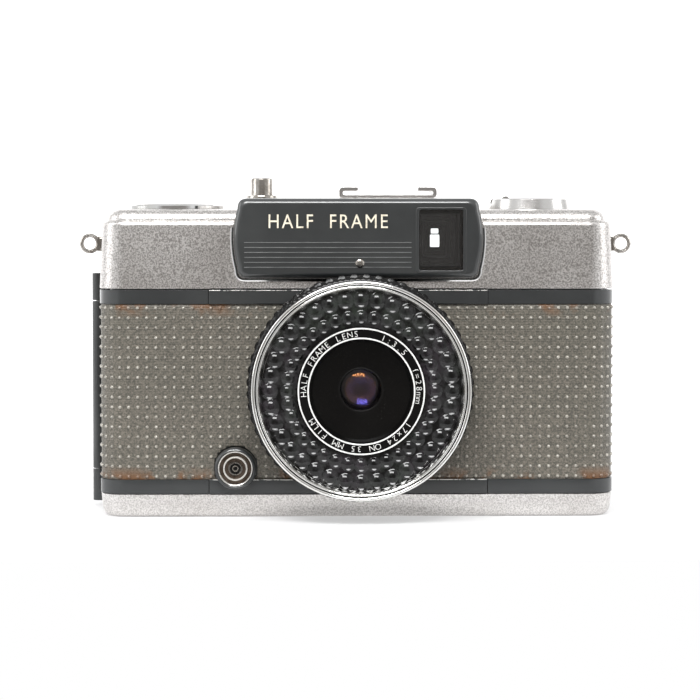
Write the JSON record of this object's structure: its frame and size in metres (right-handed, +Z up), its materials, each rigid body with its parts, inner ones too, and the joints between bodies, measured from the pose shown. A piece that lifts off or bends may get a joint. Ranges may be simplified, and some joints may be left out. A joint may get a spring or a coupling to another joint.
{
  "type": "half frame camera",
  "caption": "Compact half-frame 35 mm viewfinder camera with a fixed lens inside a ring-shaped light cell, thumbwheel film advance, folding rewind crank and a hinged back.",
  "frame": {"origin": "on the base plate, under the lens axis, at the base cover's mid depth", "axes": "+X to the right seen from the front, along the body; +Y from the lens towards the back; +Z up"},
  "size_m": [0.1224, 0.0463, 0.0737],
  "materials": {
    "satin_chrome": "fine matt chrome plate",
    "bright_chrome": "polished chrome plate",
    "grey_casting": "die-cast aluminium in dark grey semi-matt enamel",
    "grey_paint": "dark grey semi-matt enamel",
    "leatherette": "grey embossed leatherette with a dot grid",
    "black_anodised": "black anodised aluminium",
    "black_paint": "black enamel",
    "black_plastic": "black moulded plastic",
    "lens_glass": "clear coated glass",
    "bubble_glass": "clear moulded honeycomb window",
    "steel": "plain steel",
    "cell_dark": "dark selenium surface",
    "red_flag": "red paint"
  },
  "bodies": {
    "body": {"top_cover": "satin_chrome", "bottom_cover": "satin_chrome", "counter_cover": "satin_chrome", "index_stud": "bright_chrome", "accessory_shoe": "bright_chrome", "button_collar": "bright_chrome", "strap_lug_left": "bright_chrome", "strap_lug_right": "bright_chrome", "cell_bezel": "bright_chrome", "sync_shell": "bright_chrome", "sync_pin": "bright_chrome", "chassis": "grey_casting", "front_panel": "grey_casting", "faceplate": "grey_paint", "sync_housing": "grey_paint", "front_leather_left": "leatherette", "front_leather_right": "leatherette", "shutter_housing": "black_anodised", "name_ring": "black_anodised", "lens_barrel": "black_anodised", "lens_rear_cell": "black_anodised", "finder_tube": "black_plastic", "eyepiece_frame": "black_plastic", "meter_housing": "black_plastic", "shoe_contact": "black_plastic", "finder_window": "lens_glass", "finder_objective": "lens_glass", "finder_eyepiece": "lens_glass", "counter_window": "lens_glass", "front_lens": "lens_glass", "rear_lens": "lens_glass", "cell_window": "bubble_glass", "hinge_pin": "steel", "gear_bridge": "steel", "button_spring": "steel", "tripod_bush": "steel", "selenium_cell": "cell_dark"},
    "advance": {"thumbwheel": "black_paint", "takeup_spool": "black_plastic"},
    "film_sprocket": {"sprocket": "black_plastic"},
    "counter": {"counter_dial": "black_paint"},
    "release": {"shutter_button": "bright_chrome"},
    "rewind_turn": {"rewind_bush": "steel"},
    "rewind_lift": {"rewind_knob": "satin_chrome", "rewind_shaft": "steel"},
    "crank": {"rewind_crank": "bright_chrome"},
    "door": {"back_door": "grey_paint", "back_leather": "leatherette", "plate_spring": "steel"},
    "plate": {"pressure_plate": "black_paint"},
    "latch": {"door_latch": "bright_chrome"},
    "rewind_release": {"rewind_release_button": "bright_chrome"},
    "aperture_selector": {"aperture_ring": "black_anodised"},
    "speed_selector": {"film_speed_ring": "black_anodised"},
    "shutter_a": {"shutter_blade_a": "black_paint"},
    "shutter_b": {"shutter_blade_b": "black_paint"},
    "iris_a": {"aperture_blade_a": "black_paint"},
    "iris_b": {"aperture_blade_b": "black_paint"},
    "flag": {"low_light_flag": "red_flag"},
    "needle": {"meter_needle": "steel"}
  },
  "joints": [
    {"name": "advance_turn", "type": "hinge", "parent": "body", "child": "advance", "pos_m": [-0.0406, 0.0022, 0], "axis": [0, 0, 1], "continuous": true},
    {"name": "sprocket_turn", "type": "hinge", "parent": "body", "child": "film_sprocket", "pos_m": [-0.0211, 0.0022, 0], "axis": [0, 0, 1], "continuous": true},
    {"name": "counter_turn", "type": "hinge", "parent": "body", "child": "counter", "pos_m": [-0.0406, 0.0022, 0], "axis": [0, 0, 1], "continuous": true},
    {"name": "shutter_press", "type": "slide", "parent": "body", "child": "release", "axis": [0, 0, -1], "range_m": [0, 0.002], "stiffness_N_per_m": 600, "springref_m": -0.0008, "deforming": ["button_spring"]},
    {"name": "rewind_spin", "type": "hinge", "parent": "body", "child": "rewind_turn", "pos_m": [0.0381, 0.0003, 0], "axis": [0, 0, 1], "continuous": true},
    {"name": "rewind_pull", "type": "slide", "parent": "rewind_turn", "child": "rewind_lift", "axis": [0, 0, 1], "range_m": [0, 0.007]},
    {"name": "crank_fold", "type": "hinge", "parent": "rewind_lift", "child": "crank", "pos_m": [0.0325, 0.0003, 0.0687], "axis": [0, -1, 0], "range_deg": [0, 165]},
    {"name": "door_swing", "type": "hinge", "parent": "body", "child": "door", "pos_m": [-0.0583, 0.0085, 0], "axis": [0, 0, 1], "range_deg": [0, 110]},
    {"name": "plate_give", "type": "slide", "parent": "door", "child": "plate", "axis": [0, 1, 0], "range_m": [0, 0.0006], "stiffness_N_per_m": 400, "springref_m": -0.0005, "deforming": ["plate_spring"]},
    {"name": "latch_slide", "type": "slide", "parent": "door", "child": "latch", "axis": [0, 0, -1], "range_m": [0, 0.002], "stiffness_N_per_m": 300, "springref_m": -0.0005},
    {"name": "rewind_release_press", "type": "slide", "parent": "body", "child": "rewind_release", "axis": [0, 0, 1], "range_m": [0, 0.0012], "stiffness_N_per_m": 400, "springref_m": -0.0005},
    {"name": "aperture_turn", "type": "hinge", "parent": "body", "child": "aperture_selector", "pos_m": [0, 0, 0.0285], "axis": [0, 1, 0], "range_deg": [0, 100]},
    {"name": "film_speed_turn", "type": "hinge", "parent": "body", "child": "speed_selector", "pos_m": [0, 0, 0.0285], "axis": [0, 1, 0], "range_deg": [0, 70]},
    {"name": "shutter_a_swing", "type": "hinge", "parent": "body", "child": "shutter_a", "pos_m": [-0.0085, 0, 0.0205], "axis": [0, -1, 0], "range_deg": [0, 35], "stiffness_Nm_per_rad": 0.0004, "springref_deg": -11.46},
    {"name": "shutter_b_swing", "type": "hinge", "parent": "body", "child": "shutter_b", "pos_m": [0.0085, 0, 0.0365], "axis": [0, -1, 0], "range_deg": [0, 35]},
    {"name": "iris_a_swing", "type": "hinge", "parent": "body", "child": "iris_a", "pos_m": [0.0085, 0, 0.0205], "axis": [0, -1, 0], "range_deg": [0, 40]},
    {"name": "iris_b_swing", "type": "hinge", "parent": "body", "child": "iris_b", "pos_m": [-0.0085, 0, 0.0365], "axis": [0, -1, 0], "range_deg": [0, 40]},
    {"name": "flag_rise", "type": "hinge", "parent": "body", "child": "flag", "pos_m": [0.011, -0.004, 0.0546], "axis": [0, 1, 0], "range_deg": [0, 50], "stiffness_Nm_per_rad": 0.00004, "springref_deg": -17.19},
    {"name": "needle_swing", "type": "hinge", "parent": "body", "child": "needle", "pos_m": [-0.0015, -0.002, 0], "axis": [0, 0, 1], "range_deg": [-35, 35], "stiffness_Nm_per_rad": 0.00002}
  ],
  "couplings": [
    {"joint": "sprocket_turn", "follows": "advance_turn", "ratio": -1},
    {"joint": "counter_turn", "follows": "advance_turn", "ratio": 0.0263},
    {"joint": "shutter_b_swing", "follows": "shutter_a_swing", "ratio": 1},
    {"joint": "iris_a_swing", "follows": "aperture_turn", "ratio": 0.4},
    {"joint": "iris_b_swing", "follows": "aperture_turn", "ratio": 0.4}
  ]
}
